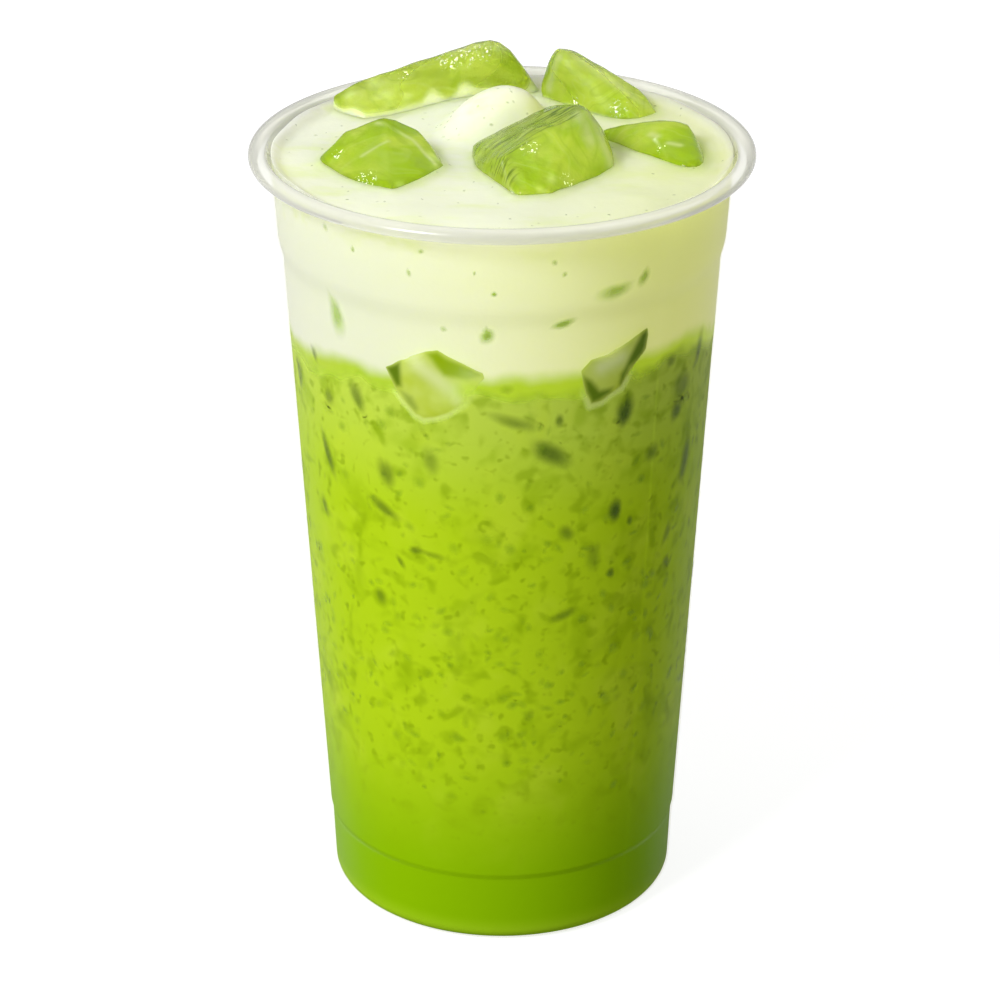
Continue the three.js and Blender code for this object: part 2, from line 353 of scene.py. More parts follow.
def new_tree(name, sizes):
    """An empty Geometry Nodes tree with geometry in and out and named inputs."""
    tree = bpy.data.node_groups.new(name, "GeometryNodeTree")
    tree.interface.new_socket("Geometry", in_out="INPUT", socket_type="NodeSocketGeometry")
    for label, kind in sizes:
        tree.interface.new_socket(label, in_out="INPUT", socket_type="NodeSocket" + kind)
    tree.interface.new_socket("Geometry", in_out="OUTPUT", socket_type="NodeSocketGeometry")
    return tree, add(tree, "NodeGroupInput").outputs


# Shapes

def outer_radius(heights, easing=CORNER_ROUNDING):
    """The cup's outer radius above the base fillet, with its corners eased."""
    known_heights, radii = zip(*WALL_STATIONS)
    shifts = np.linspace(-easing, easing, 9)
    eased = [np.interp(np.asarray(heights, float) + s, known_heights, radii) for s in shifts]
    return np.mean(eased, axis=0)


def wall_heights(low, high, spacing):
    """Heights of a wall's rings, closer where the wall steps."""
    even = np.linspace(low, high, max(2, round((high - low) / spacing) + 1))
    close = [np.arange(start, end, STEP_SPACING) for start, end in STEP_ZONES]
    every = np.concatenate([even, *close])
    return np.unique(every[(every >= low) & (every <= high)].round(3))


def wall_line(inset, low, high, spacing, easing=CORNER_ROUNDING):
    """Points (radius, height) of the wall's outer face, moved in by inset."""
    heights = wall_heights(low, high, spacing)
    return list(zip(outer_radius(heights, easing) - inset, heights))


def disc_line(edge, height, rings):
    """Points from a round face's axis out to the last ring inside its edge."""
    return [(edge * i / rings, height) for i in range(rings)]


def arc(centre, halves, start, end, steps):
    """Points of an elliptic arc, angles in degrees."""
    angles = np.radians(np.linspace(start, end, steps + 1))
    return [(centre[0] + halves[0] * math.cos(a), centre[1] + halves[1] * math.sin(a)) for a in angles]


def base_line(inset, steps=8):
    """The base from the axis to the top of its fillet, moved into the cup by inset."""
    fillet = BASE_FILLET - inset
    return [
        (0.0, RECESS_DEPTH + inset),
        (RECESS_RADIUS / 2, RECESS_DEPTH + inset),
        (RECESS_RADIUS + inset, RECESS_DEPTH + inset),
        (RECESS_RADIUS + RECESS_DRAFT + inset, inset),
        *arc((BASE_RADIUS - BASE_FILLET, BASE_FILLET), (fillet, fillet), -90, 0, steps),
    ]


def turning_tree():
    """Geometry Nodes that turn a profile about the upright axis into a closed skin."""
    tree, given = new_tree(
        "turned on the upright axis",
        [("Segments", "Int"), ("Guide Radius", "Float"), ("Material", "Material")],
    )
    guide = add(tree, "GeometryNodeCurvePrimitiveCircle",
                {"Resolution": given["Segments"], "Radius": given["Guide Radius"]})
    profile = add(tree, "GeometryNodeMeshToCurve", {"Mesh": given["Geometry"]})
    skin = add(tree, "GeometryNodeCurveToMesh",
               {"Curve": guide.outputs["Curve"], "Profile Curve": profile.outputs["Curve"]})
    closed = add(tree, "GeometryNodeMergeByDistance",
                 {"Geometry": skin.outputs["Mesh"], "Distance": 0.0005 * MM})
    finish = add(tree, "GeometryNodeSetMaterial",
                 {"Geometry": closed.outputs["Geometry"], "Material": given["Material"]})
    add(tree, "NodeGroupOutput", {"Geometry": finish.outputs["Geometry"]})
    return tree


def turned(name, profile, segments, material):
    """A profile of (radius, height) points, from the axis back to the axis, turned into a piece."""
    line = bpy.data.meshes.new(name + "_profile")
    points = [((radius - GUIDE_RADIUS) * MM, -height * MM, 0) for radius, height in profile]
    line.from_pydata(points, [(i, i + 1) for i in range(len(points) - 1)], [])
    values = {"Segments": segments, "Guide Radius": GUIDE_RADIUS * MM, "Material": material}
    piece = through_nodes(name, line, TURNING, values)
    outward(piece.data)
    return piece


def outward(mesh):
    """Points a closed skin's faces outwards and shades it smooth."""
    rework(mesh, lambda work: bmesh.ops.recalc_face_normals(work, faces=work.faces))
    mesh.shade_smooth()
    mesh.set_sharp_from_angle(angle=math.radians(50))


def foam_relief(x, y):
    """Height of the foam's uneven top over its level."""
    heap = FOAM_HEAP
    rise = heap["height"] * np.exp(
        -((x - heap["x"]) / heap["width"]) ** 2 - ((y - heap["y"]) / heap["depth"]) ** 2
    )
    return rise + FOAM_RIPPLE * np.sin(0.21 * x + 0.13 * y) * np.cos(0.17 * y - 0.09 * x)


def roughness_field(points, size, seed):
    """Smooth random numbers near -1 to 1 at these points, with bumps of this size in millimetres."""
    shift = Vector((seed * 13.7, seed * 5.1, seed * 9.3))
    return np.array([noise.noise(Vector(p) / size + shift) for p in points])


def waves(points, rows):
    """Random waves at these points, summed over rows of (size, height, random series)."""
    return sum(height * roughness_field(points, size, seed) for size, height, seed in rows)


# Materials

def cover_for(tree, eye, lamps):
    """How much a surface covers what lies under it: one share for the eye, one for light from the lamps."""
    to_lamp = add(tree, "ShaderNodeLightPath").outputs["Is Shadow Ray"]
    return add(tree, "ShaderNodeMix", {0: to_lamp, 2: eye, 3: lamps}).outputs[0]


def polypropylene_wall():
    """Thermoformed clear polypropylene: thin, a little milky where it is seen edge-on, softly glossy."""
    material, tree = new_material("clear polypropylene wall")
    facing = add(tree, "ShaderNodeLayerWeight", {"Blend": 0.5}).outputs["Facing"]
    veil = add(tree, "ShaderNodeMapRange",
               {"Value": facing, "From Min": 0.5, "From Max": 1.0, "To Min": 0.0, "To Max": 0.06},
               interpolation_type="SMOOTHSTEP")
    clear = add(tree, "ShaderNodeBsdfTransparent", {"Color": linear("#fbfbf8")})
    milky = add(tree, "ShaderNodeBsdfDiffuse", {"Color": linear("#e9e9e0")})
    body = add(tree, "ShaderNodeMixShader", {0: veil.outputs[0], 1: clear.outputs[0], 2: milky.outputs[0]})
    gloss = add(tree, "ShaderNodeBsdfGlossy", {"Color": linear("#ffffff"), "Roughness": 0.3})
    sheen = add(tree, "ShaderNodeMapRange",
                {"Value": facing, "From Min": 0.3, "From Max": 1.0, "To Min": 0.0, "To Max": 0.03},
                interpolation_type="SMOOTHERSTEP")
    skin = add(tree, "ShaderNodeMixShader", {0: sheen.outputs[0], 1: body.outputs[0], 2: gloss.outputs[0]})
    add(tree, "ShaderNodeOutputMaterial", {"Surface": skin.outputs[0]})
    return material


def polypropylene_rim():
    """The rolled edge of the same sheet: two layers deep, so milky and lit through, with a soft gloss, and
    painted shade that greys it where it is seen edge-on.
    """
    material, tree = new_material("rolled polypropylene rim")
    facing = add(tree, "ShaderNodeLayerWeight", {"Blend": 0.5}).outputs["Facing"]
    veil = add(tree, "ShaderNodeMapRange",
               {"Value": facing, "From Min": 0.1, "From Max": 1.0, "To Min": 0.42, "To Max": 0.66},
               interpolation_type="SMOOTHSTEP")
    milkiness = cover_for(tree, veil.outputs[0], 0.08)
    # Painted shade: the milky colour turns grey where the rim is seen edge-on.
    edge = add(tree, "ShaderNodeMapRange",
               {"Value": facing, "From Min": 0.6, "From Max": 1.0},
               interpolation_type="SMOOTHSTEP").outputs[0]
    tone = add(tree, "ShaderNodeMix",
               {0: edge, 6: linear("#f6f6f0"), 7: linear("#bebeb6")}, data_type="RGBA").outputs[2]
    clear = add(tree, "ShaderNodeBsdfTransparent", {"Color": linear("#f8f8f4")})
    front = add(tree, "ShaderNodeBsdfDiffuse", {"Color": tone})
    back = add(tree, "ShaderNodeBsdfTranslucent", {"Color": tone})
    milky = add(tree, "ShaderNodeMixShader", {0: 0.5, 1: front.outputs[0], 2: back.outputs[0]})
    body = add(tree, "ShaderNodeMixShader", {0: milkiness, 1: clear.outputs[0], 2: milky.outputs[0]})
    gloss = add(tree, "ShaderNodeBsdfGlossy", {"Color": linear("#ffffff"), "Roughness": 0.22})
    sheen = add(tree, "ShaderNodeFresnel", {"IOR": 1.4})
    skin = add(tree, "ShaderNodeMixShader", {0: sheen.outputs[0], 1: body.outputs[0], 2: gloss.outputs[0]})
    add(tree, "ShaderNodeOutputMaterial", {"Surface": skin.outputs[0]})
    return material


def matcha_milk():
    """Matcha whisked into milk: opaque yellow-green, cloudy with crushed ice, milky above, deep below, with
    painted light at its foot.
    """
    material, tree = new_material("matcha whisked into milk")
    place = add(tree, "ShaderNodeTexCoord").outputs["Object"]
    height = add(tree, "ShaderNodeSeparateXYZ", {0: place}).outputs["Z"]
    # The foot share is painted light: a lighter band at the bottom edge for light that comes up from the
    # floor.
    depth, milkiness, foot = [
        add(tree, "ShaderNodeMapRange",
            {"Value": height, "From Min": low * MM, "From Max": high * MM, "To Max": most},
            interpolation_type="SMOOTHSTEP").outputs[0]
        for low, high, most in [(10, 50, 1.0), (90, 121, 0.75), (6, 1, 1.0)]
    ]
    layers = [(depth, "#b6d61c"), (milkiness, "#c6dc5a"), (foot, "#a6d020")]
    blots = [
        ("pale clouds", 11, 2.0, 0.3, 0.48, 0.75, 0.45, "#c8e038"),
        ("shade between ice", 8, 2.0, 0.4, 0.50, 0.72, 0.5, "#92b40a"),
        ("crushed ice", 4.2, 1.5, 0.3, 0.52, 0.74, 0.55, "#88a808"),
        ("ground tea", 2.2, 1.0, 0.0, 0.60, 0.78, 0.5, "#7e9c06"),
    ]
    for label, size, detail, distortion, low, high, most, tone in blots:
        pattern = add(tree, "ShaderNodeTexNoise",
                      {"Vector": place, "Scale": per_mm(size), "Detail": detail, "Roughness": 0.55,
                       "Distortion": distortion}, label=label).outputs["Fac"]
        share = add(tree, "ShaderNodeMapRange",
                    {"Value": pattern, "From Min": low, "From Max": high, "To Max": most},
                    interpolation_type="SMOOTHSTEP").outputs[0]
        here = add(tree, "ShaderNodeMath", {0: share, 1: depth}, operation="MULTIPLY").outputs[0]
        layers.append((here, tone))
    colour = linear("#8fbf04")
    for share, tone in layers:
        colour = add(tree, "ShaderNodeMix",
                     {0: share, 6: colour, 7: linear(tone)}, data_type="RGBA").outputs[2]
    shader = add(tree, "ShaderNodeBsdfPrincipled",
                 {"Base Color": colour, "Roughness": 0.6, "Specular IOR Level": 0.0})
    add(tree, "ShaderNodeOutputMaterial", {"Surface": shader.outputs[0]})
    return material


def milk_foam():
    """Whipped milk foam tinted by matcha: pale yellow-white, lit through, more green near the ice, with
    painted shade towards +X.
    """
    material, tree = new_material("whipped milk foam")
    place = add(tree, "ShaderNodeTexCoord").outputs["Object"]
    side = add(tree, "ShaderNodeSeparateXYZ", {0: place}).outputs["X"]
    drawn_out = add(tree, "ShaderNodeVectorMath",
                    {0: place, 1: (0.4, 1.0, 1.0)}, operation="MULTIPLY").outputs[0]
    clouds = add(tree, "ShaderNodeTexNoise",
                 {"Vector": drawn_out, "Scale": per_mm(7), "Detail": 4.0, "Roughness": 0.6}).outputs["Fac"]
    mixing = add(tree, "ShaderNodeTexNoise",
                 {"Vector": place, "Scale": per_mm(9), "Detail": 1.0, "Roughness": 0.5}).outputs["Fac"]
    near_ice, rise = [
        add(tree, "ShaderNodeAttribute", attribute_name=name).outputs["Fac"]
        for name in ("near_ice", "rise")
    ]
    shift = add(tree, "ShaderNodeMapRange",
                {"Value": mixing, "To Min": -SKIRT_PATCHES / 2, "To Max": SKIRT_PATCHES / 2}).outputs[0]
    ragged = add(tree, "ShaderNodeMath", {0: rise, 1: shift}, operation="ADD").outputs[0]
    # The side share is painted shade: it makes the foam yellow-green and darker towards +X, the side away
    # from the key light.
    patches, on_top, painted_shade_far_side, into_drink, seen, shading = [
        add(tree, "ShaderNodeMapRange",
            {"Value": value, "From Min": low, "From Max": high, "To Max": most},
            interpolation_type="SMOOTHSTEP").outputs[0]
        for value, low, high, most in [
            (clouds, 0.46, 0.72, 0.5),
            (rise, 22.0, 27.0, 1.0),
            (side, -10 * MM, 42 * MM, 0.6),
            (rise, BOUNDARY_SOFTNESS, -BOUNDARY_SOFTNESS, 1.0),
            (ragged, *SKIRT_FADE, 1.0),
            (rise, -BOUNDARY_SOFTNESS, BOUNDARY_SOFTNESS, 1.0),
        ]
    ]
    smears = add(tree, "ShaderNodeMath", {0: patches, 1: on_top}, operation="MULTIPLY").outputs[0]
    colour = linear("#e8ecd4")
    # The side tint among these is painted shade.
    tints = [(smears, "#d9e694"), (painted_shade_far_side, "#d9e09a"), (near_ice, "#c9dc6a"), (into_drink, "#b6d136")]
    for share, tone in tints:
        colour = add(tree, "ShaderNodeMix",
                     {0: share, 6: colour, 7: linear(tone)}, data_type="RGBA").outputs[2]
    froth = add(tree, "ShaderNodeTexVoronoi",
                {"Vector": place, "Scale": per_mm(0.9), "Randomness": 1.0}).outputs["Distance"]
    grain = add(tree, "ShaderNodeBump", {"Height": froth, "Strength": 0.12, "Distance": 0.15 * MM})
    shader = add(tree, "ShaderNodeBsdfPrincipled",
                 {"Base Color": colour, "Roughness": 0.5, "IOR": 1.35, "Specular IOR Level": 0.15,
                  "Subsurface Weight": 1.0, "Subsurface Radius": (1.0, 1.0, 0.8),
                  "Subsurface Scale": 10 * MM, "Alpha": cover_for(tree, seen, shading),
                  "Normal": grain.outputs[0]})
    add(tree, "ShaderNodeOutputMaterial", {"Surface": shader.outputs[0]})
    return material


def stained_ice():
    """Wet ice stained by the drink: clear yellow-green and frosty, with painted light and shade: bands
    inside, dark at its outline and sharp edges, pale edge strips and white glints.
    """
    material, tree = new_material("wet ice stained by matcha")
    place = add(tree, "ShaderNodeTexCoord").outputs["Object"]
    marks = {
        name: add(tree, "ShaderNodeAttribute", attribute_name=name).outputs["Fac"]
        for name in ("stain", "pale", "dark", "broken", "frost", "glint", "film", "worn")
    }
    facing = add(tree, "ShaderNodeLayerWeight", {"Blend": 0.5}).outputs["Facing"]
    lengths = [(BROKEN_FACE["along"], 9.0), (BROKEN_FACE["across"], 0.5), (BROKEN_FACE["out"], 4.0)]
    split = [add(tree, "ShaderNodeVectorMath", {0: place, 1: tuple(axis / (size * MM))},
                 operation="DOT_PRODUCT").outputs["Value"] for axis, size in lengths]
    grain = add(tree, "ShaderNodeCombineXYZ", dict(enumerate(split))).outputs[0]
    clouds, swirl, fibres, crystals, ripple = [
        add(tree, "ShaderNodeTexNoise",
            {"Vector": where, "Scale": scale, "Detail": detail, "Roughness": rough, "Distortion": twist},
            label=label).outputs["Fac"]
        for label, where, scale, detail, rough, twist in [
            ("stain", place, per_mm(11), 3.0, 0.5, 0.8),
            ("inner bands", place, per_mm(14), 1.5, 0.5, 1.2),
            ("broken face", grain, 1.0, 3.0, 0.65, 0.0),
            ("frost crystals", place, per_mm(0.6), 2.0, 0.7, 0.0),
            ("melted ripples", place, per_mm(3.5), 4.0, 0.6, 0.0),
        ]
    ]
    stained = add(tree, "ShaderNodeMath", {0: clouds, 1: marks["stain"]}, operation="ADD").outputs[0]
    folded = add(tree, "ShaderNodeMath", {0: swirl, 1: 9.0}, operation="MULTIPLY").outputs[0]
    band = add(tree, "ShaderNodeMath", {0: folded, 1: 1.0}, operation="PINGPONG").outputs[0]
    # The lit and shaded bands are painted light and shade for light refracted inside the ice, and the outline
    # share is painted shade where the ice is seen edge-on.
    deep, shaded, lit, outline, dark_fibre, pale_fibre, sparkle = [
        add(tree, "ShaderNodeMapRange",
            {"Value": value, "From Min": low, "From Max": high, "To Max": most},
            interpolation_type="SMOOTHSTEP").outputs[0]
        for value, low, high, most in [
            (stained, 0.38, 0.6, 1.0),
            (band, 0.35, 0.0, 0.35),
            (band, 0.7, 1.0, 0.2),
            (facing, 0.6, 0.97, 0.8),
            (fibres, 0.47, 0.58, 1.0),
            (fibres, 0.42, 0.34, 0.5),
            (crystals, 0.58, 0.64, 1.0),
        ]
    ]
    dark_split, pale_split, painted_frost_glints, split_height = [
        add(tree, "ShaderNodeMath", {0: pattern, 1: marks[zone]}, operation="MULTIPLY").outputs[0]
        for pattern, zone in [
            (dark_fibre, "broken"), (pale_fibre, "broken"), (sparkle, "frost"), (fibres, "broken"),
        ]
    ]
    # The white layer is painted highlight: glints on the frost and along the glint lines.
    white = add(tree, "ShaderNodeMath", {0: painted_frost_glints, 1: marks["glint"]}, operation="MAXIMUM").outputs[0]
    # Painted light and shade among these layers: the bands, the pale edge strips, the dark outline and edges,
    # and the white glints.
    colour = linear("#cadd52")
    layers = [
        (deep, "#aacb08"), (shaded, "#98b30c"), (lit, "#dcea90"), (marks["pale"], "#e6eeb4"),
        (outline, "#879c06"), (marks["dark"], "#8ea60a"), (dark_split, "#6a840c"), (pale_split, "#b6ce50"),
        (marks["film"], "#d8dfb8"), (white, "#ffffff"),
    ]
    for share, tone in layers:
        colour = add(tree, "ShaderNodeMix",
                     {0: share, 6: colour, 7: linear(tone)}, data_type="RGBA").outputs[2]
    matt = add(tree, "ShaderNodeMath", {0: marks["film"], 1: white}, operation="MAXIMUM").outputs[0]
    rough = add(tree, "ShaderNodeMath", {0: matt, 1: marks["worn"]}, operation="MAXIMUM").outputs[0]
    dull = add(tree, "ShaderNodeMapRange", {"Value": rough, "To Min": 0.05, "To Max": 0.5}).outputs[0]
    clear = add(tree, "ShaderNodeMapRange", {"Value": matt, "To Min": 0.65, "To Max": 0.0}).outputs[0]
    relief = add(tree, "ShaderNodeMath", {0: ripple, 1: split_height}, operation="ADD").outputs[0]
    wavy = add(tree, "ShaderNodeBump", {"Height": relief, "Strength": 0.6, "Distance": 0.6 * MM})
    shader = add(tree, "ShaderNodeBsdfPrincipled",
                 {"Base Color": colour, "Roughness": dull, "IOR": 1.31, "Transmission Weight": clear,
                  "Subsurface Weight": 1.0, "Subsurface Radius": (1.0, 0.95, 0.3),
                  "Subsurface Scale": 2.5 * MM, "Normal": wavy.outputs[0]})
    add(tree, "ShaderNodeOutputMaterial", {"Surface": shader.outputs[0]})
    return material


def ice_at_wall():
    """Ice pressed flat to the wall and filmed with milk: pale, with facets darkened by painted shade and a
    soft milky edge.
    """
    material, tree = new_material("ice filmed with milk")
    place = add(tree, "ShaderNodeTexCoord").outputs["Object"]
    mist = add(tree, "ShaderNodeTexNoise",
               {"Vector": place, "Scale": per_mm(6), "Detail": 2.0, "Roughness": 0.5}).outputs["Fac"]
    misty = add(tree, "ShaderNodeMapRange", {"Value": mist, "From Min": 0.4, "From Max": 0.65}).outputs[0]
    milky, green_facet, dark_facet, halo, outline = [
        add(tree, "ShaderNodeAttribute", attribute_name=name).outputs["Fac"]
        for name in ("milky", "green_facet", "dark_facet", "halo", "cover")
    ]
    colour = linear("#b8cc3c")
    # The dark facet layer is painted shade on facets that turn from the light.
    layers = [
        (misty, "#c6d860"), (milky, "#dce6a4"), (green_facet, "#90ae00"), (dark_facet, "#5e7a00"),
        (halo, "#d6e484"),
    ]
    for share, tone in layers:
        colour = add(tree, "ShaderNodeMix",
                     {0: share, 6: colour, 7: linear(tone)}, data_type="RGBA").outputs[2]
    shader = add(tree, "ShaderNodeBsdfPrincipled",
                 {"Base Color": colour, "Roughness": 0.4, "Specular IOR Level": 0.1,
                  "Alpha": cover_for(tree, outline, 0.0)})
    add(tree, "ShaderNodeOutputMaterial", {"Surface": shader.outputs[0]})
    return material


def sunken_fleck(name, colour, opacity):
    """Ice and tea seen through cloudy milk: dark green, its edge lost in the drink round it."""
    material, tree = new_material(name)
    core, strength = [
        add(tree, "ShaderNodeAttribute", attribute_name=kind).outputs["Fac"] for kind in ("core", "strength")
    ]
    soft = add(tree, "ShaderNodeMapRange",
               {"Value": core, "From Min": 0.0, "From Max": 0.9, "To Max": opacity},
               interpolation_type="SMOOTHSTEP").outputs[0]
    share = add(tree, "ShaderNodeMath", {0: soft, 1: strength}, operation="MULTIPLY").outputs[0]
    shader = add(tree, "ShaderNodeBsdfPrincipled",
                 {"Base Color": linear(colour), "Roughness": 0.5, "Specular IOR Level": 0.1,
                  "Alpha": cover_for(tree, share, 0.0)})
    add(tree, "ShaderNodeOutputMaterial", {"Surface": shader.outputs[0]})
    return material


# Pieces

def cup_piece():
    """The cup: base, stepped wall and open curl as one skin, the curl with the rim's finish."""
    centre = (RIM_RADIUS - CURL_WIDTH / 2, CUP_HEIGHT - CURL_HEIGHT / 2)
    outer = (CURL_WIDTH / 2, CURL_HEIGHT / 2)
    inner = (outer[0] - CURL_SHEET, outer[1] - CURL_SHEET)
    steps, spacing = 24, 2.0
    profile = [
        *base_line(0),
        *wall_line(0, BASE_FILLET, NECK_HEIGHT, spacing)[1:],
        *arc(centre, inner, 180, -90, steps),
        *arc(centre, outer, -90, 180, steps),
        *reversed(wall_line(WALL, BASE_FILLET, NECK_HEIGHT, spacing)[1:]),
        *reversed(base_line(WALL)),
    ]
    piece = turned("clear_cup", profile, 192, polypropylene_wall())
    mesh = piece.data
    mesh.materials.append(polypropylene_rim())
    rim_from = NECK_HEIGHT - 0.6
    sheet_middle = [half - CURL_SHEET / 2 for half in outer]
    for face in mesh.polygons:
        spot = face.center / MM
        out = (math.hypot(spot.x, spot.y) - centre[0]) / sheet_middle[0]
        up = (spot.z - centre[1]) / sheet_middle[1]
        face.material_index = int(spot.z > rim_from and math.hypot(out, up) > 1)
    return piece


def drink_piece():
    """The drink, from the cup's floor to the foam, with the density of the flecks in its side."""
    edge = outer_radius(DRINK_LEVEL) - CONTENTS_INSET
    rings, spacing = 12, 0.9
    profile = [
        *base_line(CONTENTS_INSET),
        *wall_line(CONTENTS_INSET, BASE_FILLET, DRINK_LEVEL, spacing)[1:],
        *reversed(disc_line(edge, DRINK_LEVEL, rings)),
    ]
    piece = turned("green_drink", profile, 288, matcha_milk())
    points = places(piece.data)
    x, y, z = points.T
    at_side = np.hypot(x, y) > outer_radius(np.maximum(z, BASE_FILLET)) - CONTENTS_INSET - 0.4
    density = smooth(*FLECKS_FROM, z) * (1 - smooth(*FLECKS_TO, z)) * at_side
    density *= 0.4 + 0.6 * (1 - smooth(*FLECKS_THIN, z))
    mark(piece.data, "scatter", density)
    return piece


def rise_above_drink(points):
    """Height over the uneven line where green turns to foam."""
    x, y, z = points.T
    line = np.interp(np.degrees(np.arctan2(x, -y)), *zip(*BOUNDARY))
    return z - line + waves(points, BOUNDARY_WAVES)


def mound_heights(spots):
    """How far the coat over the sunken ice rises above the foam: the ice's own height, softened."""
    ice = tree_of(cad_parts[CAPPED_NODE])
    low, high = [np.array(corner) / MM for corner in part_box(CAPPED_NODE)]
    step, spread, swell, clearance = 1.0, 1.8, 1.1, 5
    columns = np.arange(low[0] - step, high[0] + step, step)
    rows = np.arange(low[1] - step, high[1] + step, step)
    known = np.array([(x, y) for x in columns for y in rows])
    heights = np.zeros(len(known))
    for i, (x, y) in enumerate(known):
        top = ice.ray_cast(Vector((x, y, high[2] + clearance)) * MM, Vector((0, 0, -1)))[0]
        if top:
            heights[i] = max(0.0, top.z / MM - FOAM_LEVEL - foam_relief(x, y))
    gaps = ((spots[:, None] - known[None]) ** 2).sum(-1)
    return swell * np.exp(-gaps / (2 * spread ** 2)) @ heights * step ** 2 / (2 * math.pi * spread ** 2)


def foam_piece(material, ice_trees):
    """The foam: a body up to its uneven top, drawn up a little at the wall and round the ice.

    Its foot reaches down over the drink as a skirt that fades to nothing, so the two run into each other.
    """
    edge = outer_radius(FOAM_LEVEL) - CONTENTS_INSET
    foot = DRINK_LEVEL - FOAM_SKIRT
    foot_rings, top_rings, spacing = 12, 84, 0.6
    profile = [
        *disc_line(edge, foot, foot_rings)[:-1],
        *wall_line(CONTENTS_INSET - SKIRT_PROUD, foot, FOAM_LEVEL, spacing, FOAM_EASING),
        *reversed(disc_line(edge, FOAM_LEVEL, top_rings)),
    ]
    piece = turned("milk_foam_layer", profile, 320, material)
    mesh = piece.data
    points = places(mesh)
    x, y, z = points.T
    radius = np.hypot(x, y)
    high = smooth(FOAM_LEVEL - 4, FOAM_LEVEL, z)
    at_wall = FOAM_AT_WALL["height"] * np.exp(-((edge - radius) / FOAM_AT_WALL["width"]) ** 2)
    top = np.flatnonzero(z > FOAM_LEVEL - 0.01)
    mound = np.zeros(len(points))
    mound[top] = mound_heights(points[top, :2])
    lumps = np.zeros(len(points))
    lumps[top] = waves(points[top], FOAM_LUMPS)
    to_ice = np.full(len(points), 99.0)
    for i in top:
        level = Vector((x[i], y[i], z[i] + mound[i])) * MM
        to_ice[i] = min(tree.find_nearest(level)[3] for tree in ice_trees) / MM
    at_ice = FOAM_AT_ICE["height"] * np.exp(-(to_ice / FOAM_AT_ICE["width"]) ** 2)
    points[:, 2] += high * (foam_relief(x, y) + at_wall) + mound + lumps + at_ice
    move_to(mesh, points)
    mark(mesh, "rise", rise_above_drink(points))
    mark(mesh, "near_ice", 0.45 * np.exp(-(to_ice / 1.3) ** 1.5))
    on_top = (points[:, 2] > FOAM_LEVEL - 0.4) & (radius < edge - 0.3)
    mark(mesh, "scatter", on_top * (0.7 + 3.5 * smooth(0.1, 0.6, mound)))
    return piece


def even_skin(name, node, voxel, rounds):
    """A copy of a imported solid's mesh, merged and remeshed to an even skin that can be shaped."""
    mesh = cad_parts[node].data.copy()
    rework(mesh, lambda work: bmesh.ops.remove_doubles(work, verts=work.verts, dist=0.001 * MM))
    source = link(name + "_source", mesh)
    skin = source.modifiers.new("even skin", "REMESH")
    skin.mode = "VOXEL"
    skin.voxel_size = voxel * MM
    ease = source.modifiers.new("eased corners", "SMOOTH")
    ease.factor = 0.5
    ease.iterations = rounds
    made = plain_mesh(source)
    bpy.data.objects.remove(source)
    made.name = name
    return made


def normals_of(mesh):
    flat = np.empty(len(mesh.vertices) * 3, np.float32)
    mesh.vertex_normals.foreach_get("vector", flat)
    return flat.reshape(-1, 3).astype(float)


def neighbour_mean(mesh):
    """A function that gives each point the mean of its neighbours' values."""
    ends = np.empty(len(mesh.edges) * 2, np.int32)
    mesh.edges.foreach_get("vertices", ends)
    a, b = ends.reshape(-1, 2).T
    count = np.bincount(np.concatenate([a, b]), minlength=len(mesh.vertices)).astype(float)

    def around(values):
        total = np.zeros_like(values)
        np.add.at(total, a, values[b])
        np.add.at(total, b, values[a])
        return (total.T / count).T

    return around


def averaged(values, around, rounds):
    """Values evened out between neighbours, over and over."""
    for _ in range(rounds):
        values = 0.5 * values + 0.5 * around(values)
    return values


def edge_sharpness(mesh, points, rounds):
    """How sharply the skin bends outwards at each point: 0 on faces, towards 1 on edges."""
    around = neighbour_mean(mesh)
    bend = -np.einsum("ij,ij->i", around(points) - points, normals_of(mesh))
    bend = averaged(bend, around, rounds)
    return np.clip(bend / np.percentile(bend, 97), 0, 1)


def along_lines(points, lines):
    """1 on each line (from, to, reach), falling off round it."""
    share = np.zeros(len(points))
    for start, end, reach in lines:
        start, way = np.array(start), np.subtract(end, start)
        at = np.clip((points - start) @ way / (way @ way), 0, 1)
        away = np.linalg.norm(points - start - at[:, None] * way, axis=1)
        share = np.maximum(share, np.exp(-(away / reach) ** 2))
    return share


def chipped(points, depth):
    """The points with flat facets cut from the skin, up to this deep, in directions spread all round."""
    middle = (points.min(0) + points.max(0)) / 2
    count, flattened = 26, 0.85
    for i in range(count):
        up = 1 - 2 * (i + 0.5) / count
        turn = i * math.pi * (3 - math.sqrt(5)) + SEED
        level = math.sqrt(1 - up * up)
        way = np.array([math.cos(turn) * level, math.sin(turn) * level, up])
        reach = (points - middle) @ way
        beyond = np.maximum(0, reach - (reach.max() - depth * (0.5 + 0.5 * math.sin(5 * i))))
        points = points - flattened * beyond[:, None] * way
    return points


def around_spots(points, spots):
    """1 at each spot (x, y, z, reach), falling off round it."""
    share = np.zeros(len(points))
    for *spot, reach in spots:
        share = np.maximum(share, np.exp(-(np.linalg.norm(points - spot, axis=1) / reach) ** 2))
    return share


